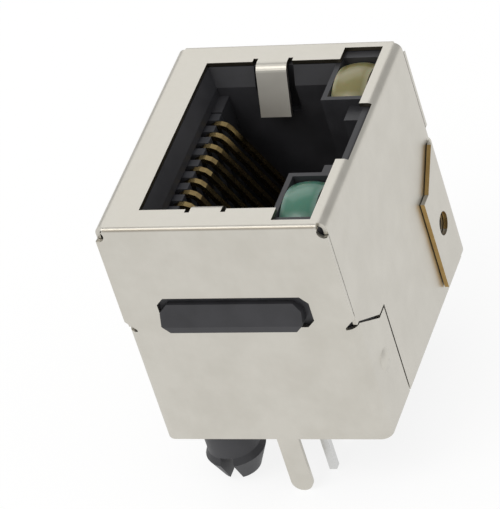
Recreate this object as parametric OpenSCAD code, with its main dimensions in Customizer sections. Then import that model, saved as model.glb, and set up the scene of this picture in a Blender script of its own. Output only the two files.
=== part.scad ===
// Top-entry RJ45 board jack with a folded metal shield and two LEDs.
// The board is the plane z = 0, the plug goes in from +Z, the spring contacts are on
// the -X side, the latch and the LEDs on the +X side. All lengths are millimetres.

/* [Plug opening] */
// Width of the plug, along the row of contacts
plug_w = 11.7; // [11.5:0.05:12]
// Thickness of the plug, from its contacts to its latch side
plug_t = 6.6; // [6.4:0.05:7]
// Room left on each side of the plug
plug_gap = 0.1; // [0.05:0.01:0.2]
// Depth of the opening, from the top of the housing to its floor
plug_depth = 11.4; // [10.5:0.1:13]
// Width of the sloped lead-in at the ends of the opening
lead_in = 0.57; // [0.3:0.01:0.7]
// Height of the sloped lead-in
lead_in_h = 1.05; // [0.6:0.05:1.3]

/* [Latch slot] */
// Width of the wide part of the slot, for the hook of the plug's latch
latch_w = 6.4; // [6.2:0.05:6.7]
// Reach of the wide part, measured from the plug opening
latch_reach = 1.6; // [1.3:0.05:2]
// Width of the narrow part, for the handle of the latch
handle_w = 3.9; // [3.4:0.05:4.4]
// Reach of the narrow part beyond the wide one
handle_reach = 1.15; // [0.8:0.05:1.6]
// Drop from the top of the housing to the two catches
catch_drop = 0.5; // [0.3:0.05:1]
// Height of the two catches that hold the latch
catch_h = 2.2; // [1.5:0.1:3]
// Depth of the latch slot
latch_depth = 9.4; // [8:0.1:10]

/* [Contacts] */
// Distance from one contact to the next
pitch = 1.016; // [0.95:0.001:1.04]
// Width of a contact wire
wire_w = 0.36; // [0.3:0.01:0.42]
// Thickness of a contact wire
wire_t = 0.3; // [0.25:0.01:0.36]
// Radius of the nose, at the middle of the wire
nose_r = 0.7; // [0.5:0.05:0.8]
// Drop from the top of the housing to the top of the comb
comb_drop = 1.65; // [1.4:0.05:2.5]
// Lean of the free spring, from the upright
spring_lean = 29; // [20:1:32]
// Length of the free spring
spring_len = 8.5; // [7:0.1:9]
// Distance of the first row of tails from the upright legs
first_row = 1.5; // [1:0.05:1.6]
// Distance between the two rows of tails
row_gap = 2.54; // [2:0.01:2.8]
// Length of the tails below the board plane
tail_len = 3; // [2.5:0.1:3.4]
// Radius of the small bends in wires and leads
wire_bend = 0.4; // [0.3:0.05:0.5]

/* [Contact carrier] */
// Thickness of the upright comb
comb_t = 1.9; // [1.7:0.05:2.2]
// Depth of wire under the face of the comb
leg_depth = 0.65; // [0.5:0.05:0.8]
// Plastic beyond the outer contacts
comb_margin = 0.85; // [0.6:0.05:0.9]
// Height of the foot of the carrier
foot_h = 2.2; // [1.8:0.1:3]
// Thickness of the tail plate
plate_t = 1.05; // [0.8:0.05:1.5]
// Room round wires, leads and inner mouldings
fit = 0.05; // [0.03:0.01:0.08]

/* [Housing] */
// Wall behind the contact carrier
back_wall = 1.02; // [0.4:0.02:1.3]
// Wall outside the latch slot
latch_wall = 0.48; // [0.4:0.02:0.8]
// Wall beyond each end of the plug opening
end_wall = 1.92; // [1.85:0.01:2.4]
// Floor between the plug opening and the foot of the carrier
floor_t = 0.6; // [0.4:0.05:1.2]
// Radius of the upright corners
corner_r = 0.5; // [0.4:0.05:0.8]

/* [Board pegs] */
// Distance between the two pegs
peg_pitch = 12.7; // [12.6:0.05:12.9]
// Distance of the pegs from the middle of the jack, towards the contacts
peg_x = 3.7; // [3.5:0.01:4.4]
// Diameter of the shafts of the pegs
peg_d = 3.15; // [2.9:0.05:3.3]
// Length of the pegs below the board plane
peg_len = 3.4; // [3:0.1:4.6]
// Length of the shaft, from the board plane to the barb
shaft_len = 1.6; // [1:0.1:1.8]
// Rise of the barb past the shaft
barb = 0.2; // [0.1:0.01:0.3]
// Diameter of the flat tip
tip_d = 2.3; // [1.8:0.1:2.6]
// Height of the split in the tip
split_h = 1.85; // [1:0.05:2]
// Width of the split
split_w = 0.78; // [0.4:0.02:1]

/* [LEDs] */
// Size of an LED body across the latch side
led_t = 2; // [1.8:0.05:2.2]
// Size of an LED body along the row of contacts
led_w = 3.4; // [3.1:0.05:3.6]
// Wall between the plug opening and an LED
led_wall = 0.3; // [0.25:0.01:0.45]
// Rib between the latch slot and an LED
led_rib = 0.29; // [0.25:0.01:0.4]
// Height of the underside of the LED bodies above the board
led_z = 8.8; // [7:0.1:10]
// Rise of the LED domes above the top of the housing
led_rise = 0.24; // [0.1:0.01:0.28]
// Radius of the LED domes
dome_r = 2.9; // [2.6:0.1:5]
// Distance between the two leads of an LED
lead_gap = 2.54; // [2.2:0.01:2.6]
// Size of the square leads
lead_t = 0.45; // [0.4:0.01:0.5]
// Distance of the lead tips from the middle of the jack
lead_x = 2; // [1.8:0.05:2.6]
// Length of the leads below the board plane
lead_len = 3.4; // [2.5:0.1:3.6]

/* [Shield sheet] */
// Thickness of the sheet
sheet = 0.25; // [0.2:0.01:0.3]
// Gap between the shield and the housing, and between folded sheets
sheet_gap = 0.05; // [0.03:0.01:0.08]
// Outside radius of the bends along the top of the side panels
bend_r = 0.5; // [0.45:0.05:0.9]
// Height of the lower edge of the shield above the board
skirt_z = 0.2; // [0.1:0.05:0.6]
// Reach of the front and rear panels past the side panels
panel_lip = 0; // [0:0.01:0.2]
// Radius of the reliefs at the four top corners
relief_r = 0.36; // [0.25:0.01:0.45]

/* [Shield openings] */
// Rim of housing that shows at the ends of the plug opening
mouth_margin = 0.57; // [0.5:0.01:0.65]
// Reach of the opening past the comb, on the contact side
mouth_reach = 1; // [0.8:0.05:1.3]
// Room past the outer end of each LED
window_room = 0.62; // [0.2:0.01:0.7]
// Room past the latch side of each LED
window_side = 0.23; // [0.1:0.01:0.3]
// Width of the notch for the latch
notch_w = 4.88; // [4:0.02:5.6]
// Edge of side panel left at the notch
notch_edge = 0.22; // [0.1:0.01:0.24]

/* [Shield fingers] */
// Width of the two contact fingers
finger_w = 1.85; // [1.4:0.05:2.4]
// Place of the fingers, from the middle of the jack towards the contacts
finger_x = 0.54; // [0:0.01:1.2]
// Length of the straight part of a finger
finger_len = 2.6; // [2:0.1:3]
// Lean of a finger, from the upright
finger_lean = 24; // [18:1:26]
// Radius of the finger's bend, at the middle of the sheet
finger_r = 0.5; // [0.4:0.05:0.6]
// Width and depth of the nicks beside each finger
nick = 0.28; // [0.2:0.01:0.35]

/* [Shield wings] */
// Reach of a wing along the side panel, from the face of its panel
wing_len = 4.05; // [3.4:0.05:5]
// Outside radius of the folds of the front wings, which are flush with the side panels
fold_r = 0.6; // [0.5:0.05:0.8]
// Height of the top of a rear wing at its fold
wing_top = 8.75; // [8:0.05:9]
// Drop of the front wings below the rear ones
wing_step = 0.5; // [0:0.05:0.8]
// Slit round a front wing and above every fold
wing_slit = 0.14; // [0.1:0.01:0.3]
// Drop of the slanted top edge of a wing
wing_drop = 1.85; // [1.2:0.05:2.5]
// Length of the level top edge at the end of a wing
wing_flat = 0.9; // [0.2:0.05:1.5]
// Rise of the lower edge of the rear wings above the lower edge of the shield
wing_lift = 0.6; // [0:0.05:1]
// Distance of the lock holes and bumps from the face of the panel
lock_y = 2.3; // [1.9:0.05:2.6]
// Height of the lock holes and bumps
lock_z = 4.1; // [3.5:0.1:5]
// Diameter of the lock holes in the rear wings
lock_d = 1.4; // [1.1:0.05:1.5]
// Rise of the lock bumps on the front wings
bump_rise = 0.22; // [0.1:0.01:0.28]

/* [Lugs and solder tabs] */
// Height of the underside of the housing lugs
lug_z = 8.6; // [8.4:0.1:9.6]
// Height of the housing lugs
lug_h = 1.6; // [1.2:0.05:2]
// Length of the housing lugs
lug_len = 8.4; // [7:0.1:8.8]
// Place of the lugs, from the middle of the jack towards the contacts
lug_x = 0.2; // [0:0.01:0.6]
// Rise of the lugs past the face of the panels
lug_proud = 0.52; // [0.2:0.01:0.7]
// Length of the windows beyond the latch end of the lugs
lug_room = 0.5; // [0.2:0.05:0.8]
// Height of the windows above the lugs
lug_head = 0.45; // [0.2:0.05:0.6]
// Cut corners of the lugs and their windows
lug_cut = 0.45; // [0.2:0.05:0.6]
// Width of the solder tabs
tab_w = 1.3; // [1.1:0.05:1.8]
// Place of the solder tabs, from the middle of the jack towards the latch
tab_x = 0.58; // [0.3:0.01:1]
// Length of the solder tabs below the board plane
tab_len = 3.7; // [3:0.1:4]

/* [Hidden] */
$fn = 48;
CONTACTS = 8;
BEND_STEPS = 6;
PLASTIC = "#242426";
COMB_PLASTIC = "#33343a";
TIN = "#c9c6bd";
LEAD_TIN = "#b4b4b2";
GOLD = "#c9a648";
GREEN = "#3f7a62";
YELLOW = "#8f8a45";

// Sizes along X, from the contact side to the latch side.
cavity_t = plug_t + 2 * plug_gap;
housing_w = back_wall + fit + comb_t + cavity_t + latch_reach + handle_reach + latch_wall;
back_x = -housing_w / 2;
bay_x = back_x + back_wall;
comb_x = bay_x + fit + comb_t;
cavity_x = comb_x + cavity_t;
latch_x = cavity_x + latch_reach;
handle_x = latch_x + handle_reach;
led_x = cavity_x + led_wall + fit + led_t / 2;
mouth_x = comb_x - mouth_reach;
lintel_x = mouth_x + lead_in * 0.7;
window_x = led_x + led_t / 2 + window_side;
side_out = housing_w / 2 + sheet_gap + sheet;
panel_half = side_out + panel_lip;
wing_out = side_out + sheet_gap + sheet;
wing_r = fold_r + sheet_gap + sheet;
fold_x = side_out - fold_r;

// Sizes along Y; the jack is the same at both ends.
cavity_w = plug_w + 2 * plug_gap;
housing_d = cavity_w + 2 * end_wall;
mouth_half = cavity_w / 2 + mouth_margin;
led_y = latch_w / 2 + led_rib + fit + led_w / 2;
window_half = led_y + led_w / 2 + window_room;
panel_in = housing_d / 2 + sheet_gap;
panel_out = panel_in + sheet;
comb_w = (CONTACTS - 1) * pitch + 2 * comb_margin;
side_back = panel_out - wing_r + sqrt(pow(wing_r - sheet, 2) - pow(wing_r - sheet - sheet_gap, 2)) + sheet_gap / 2;

// Heights above the board.
bay_top = plate_t + foot_h + 2 * fit;
floor_z = bay_top + floor_t;
housing_h = floor_z + plug_depth;
comb_top = housing_h - comb_drop;
shield_top = housing_h + sheet_gap + sheet;
catch_top = housing_h - catch_drop;
latch_floor = housing_h - latch_depth;
led_top = housing_h + led_rise;

// Contact wires.
leg_x = comb_x - leg_depth;
row_x = leg_x + first_row;
run_z = plate_t + fit + foot_h / 2;
slot_w = wire_w + 2 * fit;
foot_end = row_x + row_gap + comb_margin;
nose_z = comb_top - fit - wire_t / 2 - nose_r;

// LED leads.
lead_run_z = 1.35;
lead_hole = lead_t + 4 * fit;
lead_seat = 1;

// ---- helpers ------------------------------------------------------------

function along(a) = [cos(a), sin(a)];

// A bent centre line: each leg is [straight length, turn in degrees, bend radius].
function trail(p, a, legs, i = 0) =
    i == len(legs) ? [p] :
    let (leg = legs[i], q = p + leg[0] * along(a))
    leg[1] == 0 ? concat([p], trail(q, a, legs, i + 1)) :
    concat([p], [for (k = [0 : BEND_STEPS - 1]) turned(q, a, leg[1] * k / BEND_STEPS, leg[2])],
           trail(turned(q, a, leg[1], leg[2]), a + leg[1], legs, i + 1));

// Where a bend that starts at p, heading a, has got to after a turn.
function turned(p, a, turn, r) = p + 2 * r * abs(sin(turn / 2)) * along(a + turn / 2);

function beside(p, i, gap) =
    let (d = p[min(i + 1, len(p) - 1)] - p[max(i - 1, 0)])
    p[i] + gap * [-d[1], d[0]] / norm(d);

// A ribbon of even thickness along a bent centre line.
module ribbon(p, t) {
    last = len(p) - 1;
    polygon(concat([for (i = [0 : last]) beside(p, i, t / 2)],
                   [for (i = [last : -1 : 0]) beside(p, i, -t / 2)]));
}

// Extrudes a drawing of X and Z along Y.
module along_y(w) {
    rotate([90, 0, 0]) linear_extrude(w, center = true) children();
}

// Extrudes a drawing of Y and Z along X.
module along_x(w) {
    rotate([90, 0, 90]) linear_extrude(w, center = true) children();
}

module both_ends() {
    children();
    mirror([0, 1, 0]) children();
}

module both_sides() {
    children();
    mirror([1, 0, 0]) children();
}

// A box given by its two corners.
module block(low, high) {
    translate(low) cube(high - low);
}

// A rectangle with all its corners rounded.
module round_rect(w, d, r) {
    square([w - 2 * r, d], center = true);
    square([w, d - 2 * r], center = true);
    for (x = [-1, 1], y = [-1, 1])
        translate([x * (w / 2 - r), y * (d / 2 - r)]) circle(r);
}

// An upright rectangle with its two top corners rounded.
module arch(w, z0, z1, r) {
    translate([-w / 2, z0]) square([w, z1 - r - z0]);
    translate([-w / 2 + r, z0]) square([w - 2 * r, z1 - z0]);
    for (x = [-1, 1])
        translate([x * (w / 2 - r), z1 - r]) circle(r);
}

// A rectangle with its corners cut off.
module cut_rect(x0, z0, x1, z1, c) {
    polygon([[x0 + c, z0], [x1 - c, z0], [x1, z0 + c], [x1, z1 - c],
             [x1 - c, z1], [x0 + c, z1], [x0, z1 - c], [x0, z0 + c]]);
}

// ---- shield -------------------------------------------------------------

module shield() {
    color(TIN) difference() {
        union() {
            top_and_sides();
            mirror([0, 1, 0]) end_panel(wing_top - wing_step) wing(side_out, fold_r, wing_top - wing_step, 0);
            end_panel(wing_top) wing(wing_out, wing_r, wing_top, wing_lift);
            both_sides() lock_bump();
            both_ends() finger();
        }
        both_sides() lock_hole(lock_d - 2 * sheet);
    }
}

module top_and_sides() {
    difference() {
        along_y(2 * (panel_in - sheet_gap)) difference() {
            arch(2 * side_out, skirt_z, shield_top, bend_r);
            arch(2 * (side_out - sheet), skirt_z - 1, shield_top - sheet, bend_r - sheet);
        }
        both_sides() {
            block([side_out - 2 * sheet, side_back, skirt_z - 1],
                  [side_out + 1, panel_out, wing_top + wing_slit]);
            translate([side_out, 0, 0]) mirror([0, 1, 0]) along_x(4 * sheet)
                wing_outline(fold_r, wing_top - wing_step, -1, wing_slit);
        }
        mouth();
    }
}

// An end panel: the sharp fold to the top, the flat with its window and tab, and
// the two wings that fold round to the sides, given for one side.
module end_panel(top) {
    translate([0, panel_in + sheet / 2, 0]) along_y(sheet) difference() {
        panel_outline(top + wing_slit);
        lug_window();
        both_sides() corner_relief();
    }
    along_x(2 * (side_out - bend_r)) {
        translate([panel_in - 2 * sheet_gap, shield_top - sheet])
            square([2 * sheet_gap, sheet]);
        translate([panel_in, shield_top - sheet]) intersection() {
            circle(sheet);
            square(sheet);
        }
    }
    both_sides() children();
}

// The part above a given height is as wide as the shield, the rest ends at the folds.
module panel_outline(z) {
    tip_z = tab_w / 2 - tab_len;
    difference() {
        arch(2 * panel_half, z, shield_top - sheet, bend_r - sheet + panel_lip);
        both_sides() polygon([[fold_x, z], [fold_x, z - 1], [side_out + 1, z - 1],
                              [side_out + 1, z + side_out + 1 - fold_x]]);
    }
    translate([-fold_x, skirt_z]) square([2 * fold_x, z + 1 - skirt_z]);
    translate([tab_x - tab_w / 2, tip_z]) square([tab_w, skirt_z + 1 - tip_z]);
    translate([tab_x, tip_z]) circle(tab_w / 2);
}

// A notch at a top corner of an end panel.
module corner_relief() {
    translate([side_out - relief_r / 2, shield_top - bend_r]) circle(relief_r);
}

// A wing and its round fold, with a given outer face, fold, top and lift.
module wing(out, r, top, lift) {
    difference() {
        intersection() {
            translate([0, 0, skirt_z]) linear_extrude(top - skirt_z) difference() {
                arch(2 * out, panel_out - wing_len, panel_out, r);
                arch(2 * (out - sheet), panel_out - wing_len - 1, panel_in, r - sheet);
            }
            translate([out, 0, 0]) along_x(2 * r) wing_outline(r, top, skirt_z + lift, 0);
        }
        if (out > side_out) lock_hole(lock_d, side_out + sheet_gap / 2);
    }
}

// The outline of a wing on a side, with room round it.
module wing_outline(r, top, low, room) {
    end_y = panel_out - wing_len - room;
    knee_z = top - wing_drop + room;
    polygon([[end_y, low], [panel_out + room, low], [panel_out + room, top + room],
             [panel_out - r, top + room], [end_y + wing_flat, knee_z], [end_y, knee_z]]);
}

// A round hole of a rear wing, from a given distance outwards.
module lock_hole(d, from = 0) {
    translate([from, panel_out - lock_y, lock_z]) rotate([0, 90, 0])
        cylinder(d = d, h = 2 * side_out);
}

// The pressed bump of a front wing.
module lock_bump() {
    base_r = lock_d / 2;
    r = (base_r * base_r + bump_rise * bump_rise) / (2 * bump_rise);
    translate([side_out, lock_y - panel_out, lock_z]) rotate([0, 90, 0])
        rotate_extrude() intersection() {
            translate([0, bump_rise - r]) circle(r);
            translate([0, -sheet / 2]) square([lock_d, sheet / 2 + bump_rise]);
        }
}

// A finger bent down into the plug opening at the rear end.
module finger() {
    path = trail([mouth_half + nick, shield_top - sheet / 2], 180,
                 [[nick, 90 - finger_lean, finger_r], [finger_len, 0, 0]]);
    translate([-finger_x, 0, 0]) along_x(finger_w) ribbon(path, sheet);
}

// All that is cut out of the top: plug opening, LED windows, latch notch, nicks.
module mouth() {
    translate([0, 0, shield_top - 2 * bend_r]) linear_extrude(3 * bend_r) {
        translate([mouth_x, -mouth_half]) square([window_x - mouth_x, 2 * mouth_half]);
        translate([cavity_x + led_wall, -window_half])
            square([window_x - cavity_x - led_wall, 2 * window_half]);
        translate([cavity_x, -notch_w / 2]) square([side_out - notch_edge - cavity_x, notch_w]);
        for (end = [-1, 1], side = [-1, 1])
            translate([-finger_x + side * (finger_w / 2 + nick / 2), end * mouth_half])
                square([nick, 2 * nick], center = true);
    }
}

module lug_window() {
    cut_rect(-lug_x - lug_len / 2 - 2 * sheet_gap, lug_z - 2 * sheet_gap,
             -lug_x + lug_len / 2 + lug_room, lug_z + lug_h + lug_head, lug_cut);
}

// ---- housing ------------------------------------------------------------

module housing() {
    color(PLASTIC) difference() {
        union() {
            intersection() {
                linear_extrude(housing_h) round_rect(housing_w, housing_d, corner_r);
                along_y(2 * housing_d) arch(housing_w, 0, housing_h, bend_r - sheet - sheet_gap);
            }
            both_ends() {
                lug();
                translate([-peg_x, peg_pitch / 2, 0]) peg();
            }
        }
        plug_cavity();
        latch_slot();
        carrier_bay();
        both_ends() {
            led_pocket();
            finger_slot();
        }
    }
}

module plug_cavity() {
    block([comb_x, -cavity_w / 2, floor_z], [cavity_x, cavity_w / 2, housing_h + 1]);
    block([lintel_x, -cavity_w / 2, comb_top], [cavity_x, cavity_w / 2, housing_h + 1]);
    intersection() {
        translate([cavity_x - 10, 0, 0]) along_x(20) lead_in_section(cavity_w / 2, lead_in);
        along_y(20) polygon([[lintel_x, housing_h - lead_in_h], [cavity_x, housing_h - lead_in_h],
                             [cavity_x, housing_h + 1], [mouth_x, housing_h + 1], [mouth_x, housing_h]]);
    }
}

module lead_in_section(half, slope) {
    polygon([[-half, housing_h - lead_in_h], [half, housing_h - lead_in_h],
             [half + slope, housing_h], [half + slope, housing_h + 1],
             [-half - slope, housing_h + 1], [-half - slope, housing_h]]);
}

// A wide slot for the hook, a narrow one for the handle, and the room under the catches.
module latch_slot() {
    block([cavity_x - 1, -latch_w / 2, latch_floor], [latch_x, latch_w / 2, housing_h + 1]);
    block([cavity_x, -handle_w / 2, latch_floor], [handle_x, handle_w / 2, housing_h + 1]);
    block([cavity_x, -latch_w / 2, latch_floor], [handle_x, latch_w / 2, catch_top - catch_h]);
    block([cavity_x, -latch_w / 2, catch_top], [handle_x, latch_w / 2, housing_h + 1]);
}

module carrier_bay() {
    half = comb_w / 2 + fit;
    block([bay_x, -half, -1], [foot_end + fit, half, bay_top]);
    block([bay_x, -half, 0], [comb_x + 1, half, comb_top + fit]);
}

module led_pocket() {
    half_t = led_t / 2 + fit;
    half_w = led_w / 2 + fit;
    block([led_x - half_t, led_y - half_w, led_z - fit], [led_x + half_t, led_y + half_w, housing_h + 1]);
    for (side = [-1, 1]) translate([0, led_y + side * lead_gap / 2, 0]) {
        block([led_x - lead_hole / 2, -lead_hole / 2, 0],
              [led_x + lead_hole / 2, lead_hole / 2, led_z]);
        block([lead_x - lead_hole / 2, -lead_hole / 2, -1],
              [led_x + lead_hole / 2, lead_hole / 2, lead_run_z + lead_hole / 2]);
    }
}

// The slot behind a finger, into which the plug pushes it.
module finger_slot() {
    half = finger_w / 2 + nick;
    block([-finger_x - half, 0, housing_h - finger_len - sheet],
          [-finger_x + half, mouth_half, housing_h + 1]);
}

// The wedge over which the shield snaps.
module lug() {
    face = panel_out + lug_proud;
    intersection() {
        translate([-lug_x, 0, 0]) along_x(lug_len)
            polygon([[housing_d / 2 - 1, lug_z], [face, lug_z], [face, lug_z + lug_h / 4],
                     [panel_out, lug_z + lug_h], [housing_d / 2 - 1, lug_z + lug_h]]);
        translate([0, panel_out, 0]) along_y(4)
            cut_rect(-lug_x - lug_len / 2, lug_z, -lug_x + lug_len / 2, lug_z + lug_h, lug_cut);
    }
}

// A board peg: a shaft, a barb and a tapered tip, split from the tip upwards.
module peg() {
    r = peg_d / 2;
    difference() {
        rotate_extrude() polygon([[0, 1], [r - barb, 1], [r - barb, 0], [r, 0], [r, -shaft_len],
                                  [r + barb, -shaft_len - 2 * barb], [tip_d / 2, -peg_len], [0, -peg_len]]);
        block([-split_w / 2, -peg_d, -peg_len - 1], [split_w / 2, peg_d, split_h - peg_len]);
    }
}

// ---- contacts and their carrier ----------------------------------------

function contact_y(n) = (n - (CONTACTS + 1) / 2) * pitch;
function tail_x(n) = row_x + (n % 2 == 0 ? row_gap : 0);

module contact(n) {
    path = trail([tail_x(n), -tail_len], 90,
                 [[tail_len + run_z - wire_bend, 90, wire_bend],
                  [tail_x(n) - leg_x - 2 * wire_bend, -90, wire_bend],
                  [nose_z - run_z - wire_bend, spring_lean - 180, nose_r],
                  [spring_len, 0, 0]]);
    color(GOLD) translate([0, contact_y(n), 0]) along_y(wire_w) ribbon(path, wire_t);
}

module contact_carrier() {
    low_z = plate_t + fit;
    back = bay_x + fit;
    color(COMB_PLASTIC) difference() {
        along_y(comb_w) polygon([[back, low_z], [foot_end, low_z], [foot_end, low_z + foot_h],
                                 [comb_x, low_z + foot_h], [comb_x, comb_top - fit],
                                 [back, comb_top - fit]]);
        for (n = [1 : CONTACTS]) translate([0, contact_y(n), 0]) {
            groove_x = leg_x - wire_t / 2 - fit;
            block([groove_x, -slot_w / 2, run_z], [comb_x + 1, slot_w / 2, comb_top + 1]);
            block([groove_x, -slot_w / 2, low_z - 1],
                  [tail_x(n) + wire_t / 2 + fit, slot_w / 2, run_z + wire_t / 2 + fit]);
        }
    }
}

module tail_plate() {
    color(COMB_PLASTIC) difference() {
        block([bay_x + fit, -comb_w / 2, 0], [foot_end, comb_w / 2, plate_t]);
        for (n = [1 : CONTACTS]) translate([tail_x(n), contact_y(n), plate_t / 2])
            cube([wire_t + 2 * fit, slot_w, 2 * plate_t], center = true);
    }
}

// ---- LEDs -----------------------------------------------------------------

// The epoxy body at the rear end, with a domed top and two lead sockets.
module led_body() {
    difference() {
        intersection() {
            block([led_x - led_t / 2, led_y - led_w / 2, led_z],
                  [led_x + led_t / 2, led_y + led_w / 2, led_top]);
            translate([led_x, led_y, led_top - dome_r]) union() {
                sphere(dome_r, $fn = 96);
                translate([0, 0, -20]) cylinder(r = dome_r, h = 20, $fn = 96);
            }
        }
        for (side = [-1, 1]) translate([led_x, led_y + side * lead_gap / 2, led_z])
            cube([lead_hole, lead_hole, 2 * lead_seat], center = true);
    }
}

// One lead: up from the board, across, and up into the body.
module led_lead(side) {
    path = trail([lead_x, -lead_len], 90,
                 [[lead_len + lead_run_z - wire_bend, -90, wire_bend],
                  [led_x - lead_x - 2 * wire_bend, 90, wire_bend],
                  [led_z + lead_seat - fit - lead_run_z - wire_bend, 0, 0]]);
    translate([0, led_y + side * lead_gap / 2, 0]) along_y(lead_t) ribbon(path, lead_t);
}

module led_green_lens() {
    color(GREEN) mirror([0, 1, 0]) led_body();
}

module led_green_anode() {
    color(LEAD_TIN) mirror([0, 1, 0]) led_lead(1);
}

module led_green_cathode() {
    color(LEAD_TIN) mirror([0, 1, 0]) led_lead(-1);
}

module led_yellow_lens() {
    color(YELLOW) led_body();
}

module led_yellow_anode() {
    color(LEAD_TIN) led_lead(1);
}

module led_yellow_cathode() {
    color(LEAD_TIN) led_lead(-1);
}

shield();
housing();
contact_carrier();
tail_plate();
contact(1);  // contact_1
contact(2);  // contact_2
contact(3);  // contact_3
contact(4);  // contact_4
contact(5);  // contact_5
contact(6);  // contact_6
contact(7);  // contact_7
contact(8);  // contact_8
led_green_lens();
led_green_anode();
led_green_cathode();
led_yellow_lens();
led_yellow_anode();
led_yellow_cathode();
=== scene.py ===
# %% [markdown]
# # A board jack for a network plug
# The construction is already there: the folded shield, the black moulding, the eight
# gold wires and the two LEDs arrive from the frame at their real size. This lesson gives
# each of them the finish that the real one has, and sets up a plain studio round the part.

# %% Load the frame
import math
import bpy
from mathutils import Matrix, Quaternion, Vector


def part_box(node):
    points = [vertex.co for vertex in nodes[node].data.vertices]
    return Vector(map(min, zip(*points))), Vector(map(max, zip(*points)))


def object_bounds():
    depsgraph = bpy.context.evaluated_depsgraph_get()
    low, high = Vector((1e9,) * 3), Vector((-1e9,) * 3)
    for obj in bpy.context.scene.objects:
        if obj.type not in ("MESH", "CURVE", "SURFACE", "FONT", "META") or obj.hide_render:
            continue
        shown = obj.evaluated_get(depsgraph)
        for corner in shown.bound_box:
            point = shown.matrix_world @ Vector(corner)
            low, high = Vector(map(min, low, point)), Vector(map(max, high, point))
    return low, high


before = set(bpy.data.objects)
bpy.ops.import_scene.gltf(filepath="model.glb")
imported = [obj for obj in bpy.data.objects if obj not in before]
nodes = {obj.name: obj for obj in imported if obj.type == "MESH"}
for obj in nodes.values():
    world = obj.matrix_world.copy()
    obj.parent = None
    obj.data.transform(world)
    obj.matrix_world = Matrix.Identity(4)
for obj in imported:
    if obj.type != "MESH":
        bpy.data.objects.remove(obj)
cad_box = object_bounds()
print("nodes:", len(nodes))

# %% [markdown]
# ## Units and landmarks
# The frame is in metres and the part is about 15 mm tall, so one named millimetre keeps
# the numbers readable. The landmarks below come from the boxes of the nodes: when the
# construction changes, the finishes move with it.

# %% Landmarks
MM = 0.001
SHEET = 0.25 * MM
WING_STEP = 0.3 * MM


def in_mm(corners):
    return [tuple(round(c / MM, 2) for c in corner) for corner in corners]


shield_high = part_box("shield")[1]
top_z = shield_high.z
panel_y = shield_high.y
side_x = shield_high.x - WING_STEP
print("box of the part:", in_mm(cad_box))
print("top of the shield:", round(top_z / MM, 2), "mm above the board")

# %% [markdown]
# ## The camera
# A long lens looks down on the jack from the front and right, and is rolled so that the
# upright edges lean. Placing it by azimuth, elevation, roll and distance round one aim
# point is easier to change than a matrix would be.

# %% Camera
AIM = Vector((-1.853, -0.874, 7.636)) * MM
AZIMUTH = math.radians(28.05)
ELEVATION = math.radians(36.49)
ROLL = math.radians(18.44)
DISTANCE = 253.9 * MM
LENS = 323.9
SENSOR_WIDTH = 36
NEAREST, FARTHEST = 0.01, 10

camera_data = bpy.data.cameras.new("camera")
camera_data.sensor_fit = "HORIZONTAL"
camera_data.sensor_width = SENSOR_WIDTH
camera_data.lens = LENS
camera_data.clip_start = NEAREST
camera_data.clip_end = FARTHEST
camera = bpy.data.objects.new("camera", camera_data)
bpy.context.collection.objects.link(camera)
back = Vector((math.sin(AZIMUTH) * math.cos(ELEVATION),
               -math.cos(AZIMUTH) * math.cos(ELEVATION),
               math.sin(ELEVATION)))
camera.location = AIM + back * DISTANCE
camera.rotation_mode = "QUATERNION"
upright = (-back).to_track_quat("-Z", "Y")
camera.rotation_quaternion = upright @ Quaternion((0, 0, 1), -ROLL)
bpy.context.scene.camera = camera
print("camera at", tuple(round(c / MM, 1) for c in camera.location), "mm")

# %% [markdown]
# ## Shader maths in plain Python
# A finish is built from masks: where a cut edge is, how far down a bend a point lies, how
# blotchy the plating is. One small class wraps a socket, so that a mask reads as an
# expression while the Math nodes are added behind it.

# %% A small shader language
class Wire:
    """A socket of a material's node tree, or a plain number, with operators."""

    def __init__(self, shop, socket):
        self.shop = shop
        self.socket = socket

    def _math(self, operation, other=None, swap=False):
        values = [self, other] if other is not None else [self]
        if swap:
            values.reverse()
        return self.shop.node("ShaderNodeMath", {"operation": operation}, *values)

    def __add__(self, other):
        return self._math("ADD", other)

    def __radd__(self, other):
        return self._math("ADD", other, swap=True)

    def __sub__(self, other):
        return self._math("SUBTRACT", other)

    def __rsub__(self, other):
        return self._math("SUBTRACT", other, swap=True)

    def __mul__(self, other):
        return self._math("MULTIPLY", other)

    def __rmul__(self, other):
        return self._math("MULTIPLY", other, swap=True)

    def __truediv__(self, other):
        return self._math("DIVIDE", other)

    def __abs__(self):
        return self._math("ABSOLUTE")

    def __gt__(self, other):
        return self._math("GREATER_THAN", other)

    def __lt__(self, other):
        return self._math("LESS_THAN", other)

    def both(self, other):
        return self._math("MULTIPLY", other)

    def either(self, other):
        return self._math("MAXIMUM", other)


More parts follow.
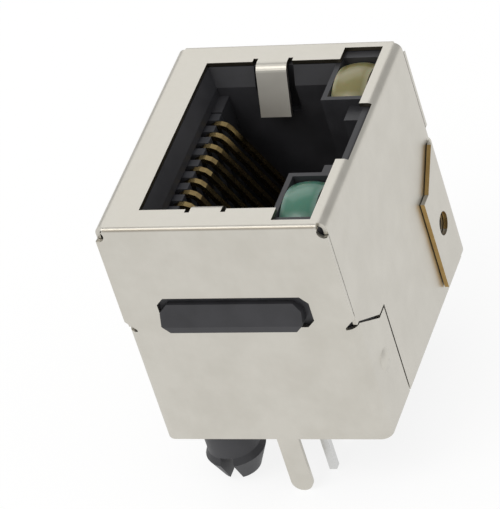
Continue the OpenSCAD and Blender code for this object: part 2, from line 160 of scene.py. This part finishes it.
class Shop:
    """Makes one material: its nodes, its masks and its Principled shader."""

    def __init__(self, name):
        self.material = bpy.data.materials.new(name)
        self.material.use_nodes = True
        self.tree = self.material.node_tree
        self.shader = self.tree.nodes["Principled BSDF"]
        self.surface = Wire(self, self.shader.outputs[0])
        place = self.tree.nodes.new("ShaderNodeTexCoord")
        self.place = Wire(self, place.outputs["Object"])
        self.facing = Wire(self, place.outputs["Normal"])

    def node(self, kind, settings, *inputs, out=0, **named):
        made = self.tree.nodes.new(kind)
        for key, value in settings.items():
            if key == "stops":
                self._stops(made.color_ramp, value)
            else:
                setattr(made, key, value)
        for slot, value in list(enumerate(inputs)) + list(named.items()):
            slot = slot if isinstance(slot, int) else slot.replace("_", " ")
            self.feed(made.inputs[slot], value)
        return Wire(self, made.outputs[out])

    def _stops(self, ramp, stops):
        while len(ramp.elements) < len(stops):
            ramp.elements.new(0.5)
        for element, (at, color) in zip(ramp.elements, stops):
            element.position = at
            element.color = (*color, 1)

    def feed(self, socket, value):
        if isinstance(value, Wire):
            self.tree.links.new(value.socket, socket)
        elif value is not None:
            socket.default_value = value

    def split(self, vector):
        made = self.tree.nodes.new("ShaderNodeSeparateXYZ")
        self.feed(made.inputs[0], vector)
        return [Wire(self, output) for output in made.outputs]

    def noise(self, scale, detail=3, roughness=0.5, at=None):
        return self.node("ShaderNodeTexNoise", {}, at or self.place, None, scale, detail,
                         roughness)

    def ramp(self, value, low, high, to_low=0.0, to_high=1.0):
        return self.node("ShaderNodeMapRange", {"clamp": True}, value, low, high,
                         to_low, to_high)

    def mix(self, mask, first, second):
        made = self.tree.nodes.new("ShaderNodeMix")
        made.data_type = "RGBA"
        inputs = (("Factor_Float", mask), ("A_Color", first), ("B_Color", second))
        for name, value in inputs:
            socket = next(s for s in made.inputs if s.identifier == name)
            value = (*value, 1) if isinstance(value, tuple) and len(value) == 3 else value
            self.feed(socket, value)
        return Wire(self, next(s for s in made.outputs if s.identifier == "Result_Color"))

    def stretch(self, scale):
        return self.node("ShaderNodeVectorMath", {"operation": "MULTIPLY"}, self.place, scale)

    def bump(self, height, strength, distance):
        return self.node("ShaderNodeBump", {}, strength, distance, Height=height)

    def set(self, **sockets):
        for name, value in sockets.items():
            socket = self.shader.inputs[name.replace("_", " ")]
            if isinstance(value, tuple) and len(value) == 3:
                value = (*value, 1)
            self.feed(socket, value)


def give(material, *names):
    for name in names:
        data = nodes[name].data
        data.materials.clear()
        data.materials.append(material)
    print(material.name, "->", ", ".join(names))


# %% [markdown]
# ## Tin-plated shield
# The shield is thin brass strip, plated before it is stamped. So its faces are a warm
# satin grey, a little blotchy from the plating. Where the press cut through, the plating
# is missing, so the ends of the rear wings are bare brass. The cut rims in the top get
# painted shade, darkened nearly to black, and a brownish band of painted shade runs along
# the top folds. These places can be told from the faces by where they are and where they
# look, so one material does them all.

# %% Shield finish
TIN_DARK, TIN_PALE = (0.585, 0.562, 0.505), (0.645, 0.622, 0.565)
BRASS_DARK, BRASS_PALE = (0.42, 0.26, 0.10), (0.62, 0.44, 0.18)
# Painted shade: the cut rims of the openings in the top are darkened nearly to black.
PAINTED_RIM_SHADE, RIM_SHADE_SHARE = (0.11, 0.09, 0.05), 0.85
# Painted shade: a brownish band on the part of the top folds that leans at FOLD_LEAN.
FOLD_SHADE_BAND, FOLD_SHADE_SHARE = (0.40, 0.29, 0.15), 0.3
FOLD_LEAN = 0.55


def shield_finish():
    shop = Shop("shield_tin")
    x, y, z = shop.split(shop.place)
    _, ny, nz = shop.split(shop.facing)
    cloud = shop.noise(420, 4, 0.55)
    grain = shop.noise(1.0, 2, 0.6, at=shop.stretch((9000, 9000, 500)))
    tin = shop.mix(shop.ramp(cloud, 0.35, 0.65), TIN_DARK, TIN_PALE)
    upper = top_z - 1.2 * SHEET
    # rim picks the upright cut rims near the top, which get the painted shade.
    rim = (z > upper).both(abs(nz) < 0.3).both(abs(y) < panel_y - 2 * SHEET)
    rim = rim.both(x < side_x - 0.1 * MM)
    wing_end = (abs(x) > side_x + 0.02 * MM).both(y > 0.0).both(ny < -0.4)
    # fold picks the slanting middle of the top folds for the painted shade band.
    fold = (abs(y) > panel_y - SHEET).both(z > top_z - SHEET)
    fold = fold.both(abs(x) < side_x - 0.6 * MM)
    fold = fold.both(shop.ramp(abs(nz - FOLD_LEAN), 0.12, 0.3, 1.0, 0.0))
    brass = shop.mix(shop.noise(1500, 2), BRASS_DARK, BRASS_PALE)
    # Painted shade on the rims in the top.
    color = shop.mix(rim * RIM_SHADE_SHARE, tin, PAINTED_RIM_SHADE)
    color = shop.mix(wing_end, color, brass)
    # Painted shade band along the top folds.
    color = shop.mix(fold * FOLD_SHADE_SHARE, color, FOLD_SHADE_BAND)
    shop.set(Base_Color=color, Metallic=1.0,
             Roughness=shop.ramp(cloud + grain * 0.4, 0.4, 1.0, 0.34, 0.46),
             Normal=shop.bump(grain, 0.08, 0.02 * MM))
    return shop.material


give(shield_finish(), "shield")


# %% [markdown]
# ## Black mouldings
# The housing is glass-filled nylon or PBT: nearly black, with a fine matt texture from the
# spark-eroded mould. A small bump of noise gives the texture, and a broad weak gloss keeps
# the faces from going flat.

# %% Moulding finish
def moulding_finish(name, color, roughness):
    shop = Shop(name)
    pits = shop.noise(9000, 2, 0.7)
    flow = shop.noise(600, 3)
    shade = tuple(c * 1.35 for c in color)
    shop.set(Base_Color=shop.mix(shop.ramp(flow, 0.35, 0.7), color, shade),
             Roughness=shop.ramp(flow, 0.3, 0.7, roughness - 0.05, roughness + 0.06),
             Specular_IOR_Level=0.5,
             Normal=shop.bump(pits, 0.25, 0.01 * MM))
    return shop.material


give(moulding_finish("housing_black", (0.034, 0.034, 0.038), 0.5), "housing")
give(moulding_finish("carrier_black", (0.045, 0.046, 0.052), 0.45),
     "contact_carrier", "tail_plate")


# %% [markdown]
# ## Gold spring wires
# The wires are drawn phosphor bronze under a flash of gold. Their drawing marks run along
# the wire, too fine to see one by one, so they only widen the highlight. Both gold tones
# are painted far darker than gold, as painted shade of the cavity the wires sit in.

# %% Contact finish
# Painted shade: both tones are darkened well below gold; the noise between them is real tone.
SHADED_GOLD_PALE, SHADED_GOLD_DARK = (0.40, 0.30, 0.13), (0.31, 0.22, 0.10)


def gold_finish():
    shop = Shop("contact_gold")
    worn = shop.noise(1800, 3)
    shop.set(Base_Color=shop.mix(shop.ramp(worn, 0.4, 0.7), SHADED_GOLD_PALE, SHADED_GOLD_DARK),
             Metallic=1.0,
             Roughness=shop.ramp(worn, 0.3, 0.7, 0.2, 0.32))
    return shop.material


give(gold_finish(), *[f"contact_{n}" for n in range(1, 9)])


# %% [markdown]
# ## LED bodies and leads
# Each LED is a block of tinted epoxy with a domed top. Its rim is painted paler than the
# middle: a painted highlight along the rounded edges of the lens.

# %% LED finish
def epoxy_finish(name, node, deep, rim_highlight_tint):
    shop = Shop(name)
    low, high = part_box(node)
    x, y, _ = shop.split(shop.place)
    middle = (low + high) / 2
    half = (high - low) / 2
    # Painted highlight: this mask rises towards the sides of the lens, where its rounded
    # edges catch the light.
    rim_highlight = (abs(x - middle.x) / half.x).either(abs(y - middle.y) / half.y)
    milk = shop.noise(900, 3)
    shop.set(Base_Color=shop.mix(shop.ramp(rim_highlight + milk * 0.2, 0.8, 1.15), deep, rim_highlight_tint),
             Roughness=0.28, Coat_Weight=0.4, Coat_Roughness=0.12,
             Subsurface_Weight=0.25, Subsurface_Scale=0.4 * MM)
    return shop.material


def lead_finish():
    shop = Shop("lead_tin")
    cloud = shop.noise(1500, 3)
    shop.set(Base_Color=shop.mix(cloud, (0.58, 0.58, 0.57), (0.74, 0.74, 0.73)),
             Metallic=1.0, Roughness=shop.ramp(cloud, 0.3, 0.7, 0.28, 0.42))
    return shop.material


# The second colour of each lens is its painted rim highlight.
give(epoxy_finish("green_epoxy", "led_green_lens", (0.055, 0.20, 0.135), (0.20, 0.32, 0.27)),
     "led_green_lens")
give(epoxy_finish("yellow_epoxy", "led_yellow_lens", (0.24, 0.21, 0.075), (0.42, 0.40, 0.25)),
     "led_yellow_lens")
give(lead_finish(),
     "led_green_anode", "led_green_cathode", "led_yellow_anode", "led_yellow_cathode")

# %% [markdown]
# ## Studio
# A pale floor and a wide white surround, with three soft lamps. The floor is seen as white
# by the camera and in the metal, and still takes the jack's shadow.

# %% Floor
FLOOR_SIZE = 1.2
SEEN_WHITE = 0.8


def floor_finish():
    shop = Shop("floor_white")
    shop.set(Base_Color=(0.9, 0.9, 0.9), Roughness=0.9, Specular_IOR_Level=0.1)
    shop.set(Emission_Color=(1.0, 1.0, 1.0), Emission_Strength=0.3)
    seen = [shop.node("ShaderNodeLightPath", {}, out=f"Is {kind} Ray")
            for kind in ("Camera", "Glossy", "Transmission")]
    share = seen[0].either(seen[1]).either(seen[2]) * SEEN_WHITE
    white = shop.node("ShaderNodeEmission", {})
    blend = shop.node("ShaderNodeMixShader", {}, share, shop.surface, white)
    shop.feed(shop.tree.nodes["Material Output"].inputs["Surface"], blend)
    return shop.material


for thing in bpy.context.selected_objects:
    thing.select_set(False)
bpy.ops.mesh.primitive_plane_add(size=FLOOR_SIZE, location=(0, 0, cad_box[0].z))
floor = bpy.context.object
floor.name = "floor"
floor.data.materials.append(floor_finish())
print("floor at", round(cad_box[0].z / MM, 2), "mm")

# %% World and lamps
WORLD_STRENGTH = 0.55
LAMP_AIM = Vector((0, 0, 0.007))

world = bpy.data.worlds.new("surround")
bpy.context.scene.world = world
world.use_nodes = True
world_light = world.node_tree.nodes["Background"]
world_light.inputs["Color"].default_value = (1.0, 1.0, 1.0, 1)
world_light.inputs["Strength"].default_value = WORLD_STRENGTH


def lamp(name, place, size, watts, color):
    data = bpy.data.lights.new(name, "AREA")
    data.size = size
    data.energy = watts
    data.color = color
    made = bpy.data.objects.new(name, data)
    bpy.context.collection.objects.link(made)
    made.location = Vector(place)
    made.rotation_mode = "QUATERNION"
    made.rotation_quaternion = (LAMP_AIM - made.location).to_track_quat("-Z", "Y")
    print(name, "at", place)


lamp("key", (-0.12, -0.16, 0.34), 0.22, 0.35, (1.0, 0.98, 0.95))
lamp("fill", (0.34, -0.06, 0.16), 0.26, 0.08, (0.95, 0.97, 1.0))
lamp("rim", (-0.15, 0.284, 0.245), 0.24, 0.15, (1.0, 1.0, 1.0))

# %% Colours as written
bpy.context.scene.view_settings.view_transform = "Standard"
